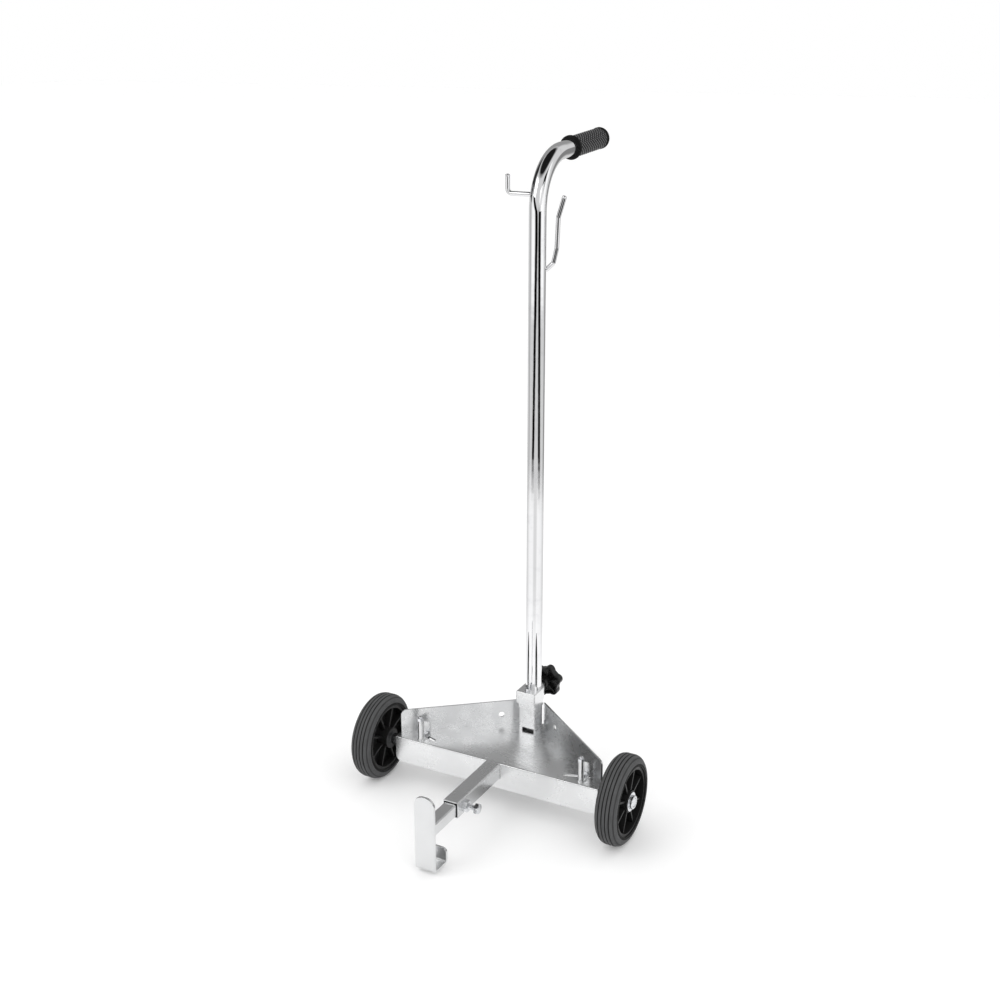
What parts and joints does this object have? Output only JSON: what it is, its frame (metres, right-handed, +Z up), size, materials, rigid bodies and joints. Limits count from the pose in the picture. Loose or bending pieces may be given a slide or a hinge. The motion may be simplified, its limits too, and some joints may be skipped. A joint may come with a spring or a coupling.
{
  "type": "drum trolley",
  "caption": "Triangular steel tray on wheels for rolling a drum, with an upright chrome handle column and a telescoping hooked arm.",
  "frame": {"origin": "on the floor, under the middle of the trolley's overall box, with the arm in its stored position", "axes": "+Z up, +X to the trolley's right seen from the arm, +Y from the arm towards the column and grip"},
  "size_m": [0.539, 0.6494, 1.1711],
  "materials": {
    "zinc_sheet": "bright zinc-plated steel sheet, satin, faint rolling grain",
    "zinc_steel": "bright zinc-plated steel tube and bar",
    "fastener_steel": "zinc-plated screws, nuts and washers",
    "chrome_tube": "polished chrome plate",
    "black_rubber": "black moulded rubber",
    "tyre_rubber": "dark grey solid rubber with grooved tread",
    "rim_plastic": "black moulded nylon",
    "knob_plastic": "black moulded plastic",
    "pad_brass": "plain brass",
    "castor_rubber": "black rubber tread"
  },
  "bodies": {
    "chassis": {"tray_plate": "zinc_sheet", "arm_sleeve": "zinc_steel", "arm_nut": "fastener_steel", "axle_left": "fastener_steel", "axle_right": "fastener_steel", "axle_bracket_left": "zinc_steel", "axle_bracket_right": "zinc_steel", "axle_spacer_left": "fastener_steel", "axle_spacer_right": "fastener_steel", "axle_washer_left": "fastener_steel", "axle_washer_right": "fastener_steel", "axle_cap_left": "fastener_steel", "axle_cap_right": "fastener_steel", "post": "zinc_sheet", "post_band": "zinc_sheet", "post_collar": "zinc_sheet", "collar_screw": "fastener_steel", "knob_nut": "fastener_steel", "rim_bolt_left": "fastener_steel", "rim_bolt_right": "fastener_steel", "castor_head": "zinc_steel"},
    "wheel_left": {"tyre_left": "tyre_rubber", "wheel_rim_left": "rim_plastic", "wheel_bush_left": "rim_plastic"},
    "wheel_right": {"tyre_right": "tyre_rubber", "wheel_rim_right": "rim_plastic", "wheel_bush_right": "rim_plastic"},
    "castor_swivel": {"castor_fork": "zinc_steel", "castor_pin": "fastener_steel"},
    "castor_wheel": {"castor_hub": "rim_plastic", "castor_tyre": "castor_rubber"},
    "column": {"column_tube": "chrome_tube", "column_plug": "rim_plastic", "hand_grip": "black_rubber", "hook_left": "chrome_tube", "hook_right": "chrome_tube"},
    "knob_pad": {"clamp_pad": "pad_brass"},
    "knob": {"clamp_knob": "knob_plastic", "clamp_stud": "fastener_steel"},
    "arm": {"arm_tube": "zinc_steel", "arm_plug": "rim_plastic", "j_foot": "zinc_steel"},
    "screw_pad": {"arm_clamp_pad": "pad_brass"},
    "screw": {"arm_clamp_screw": "fastener_steel"},
    "stop_left": {"drum_stop_left": "zinc_steel", "stop_cap_left": "fastener_steel", "stop_screw_left": "fastener_steel", "stop_nut_left": "fastener_steel"},
    "stop_right": {"drum_stop_right": "zinc_steel", "stop_cap_right": "fastener_steel", "stop_screw_right": "fastener_steel", "stop_nut_right": "fastener_steel"}
  },
  "joints": [
    {"name": "wheel_left_roll", "type": "hinge", "parent": "chassis", "child": "wheel_left", "pos_m": [-0.245, -0.07425, 0.08], "axis": [1, 0, 0], "continuous": true},
    {"name": "wheel_right_roll", "type": "hinge", "parent": "chassis", "child": "wheel_right", "pos_m": [0.245, -0.07425, 0.08], "axis": [1, 0, 0], "continuous": true},
    {"name": "castor_turn", "type": "hinge", "parent": "chassis", "child": "castor_swivel", "pos_m": [0, 0.05175, 0.08], "axis": [0, 0, 1], "continuous": true},
    {"name": "castor_roll", "type": "hinge", "parent": "castor_swivel", "child": "castor_wheel", "pos_m": [0, 0.07775, 0.0325], "axis": [1, 0, 0], "continuous": true},
    {"name": "column_lift", "type": "slide", "parent": "chassis", "child": "column", "axis": [0, 0, 1], "range_m": [0, 0.06]},
    {"name": "knob_advance", "type": "slide", "parent": "chassis", "child": "knob_pad", "axis": [0, 1, 0], "range_m": [0, 0.003]},
    {"name": "knob_turn", "type": "hinge", "parent": "knob_pad", "child": "knob", "pos_m": [0, 0.10475, 0.1625], "axis": [0, 1, 0], "range_deg": [0, 721]},
    {"name": "arm_slide", "type": "slide", "parent": "chassis", "child": "arm", "axis": [0, -1, 0], "range_m": [-0.04, 0.05]},
    {"name": "screw_advance", "type": "slide", "parent": "chassis", "child": "screw_pad", "axis": [1, 0, 0], "range_m": [0, 0.003]},
    {"name": "screw_turn", "type": "hinge", "parent": "screw_pad", "child": "screw", "pos_m": [0.03, -0.21625, 0.0785], "axis": [1, 0, 0], "range_deg": [0, 721]},
    {"name": "stop_left_slide", "type": "slide", "parent": "chassis", "child": "stop_left", "axis": [-0.9511, 0.309, 0], "range_m": [-0.015, 0.01]},
    {"name": "stop_right_slide", "type": "slide", "parent": "chassis", "child": "stop_right", "axis": [0.9511, 0.309, 0], "range_m": [-0.02, 0.002]}
  ],
  "couplings": [
    {"joint": "knob_turn", "follows": "knob_advance", "rad_per_m": 4188.8},
    {"joint": "screw_turn", "follows": "screw_advance", "rad_per_m": 4188.8}
  ]
}
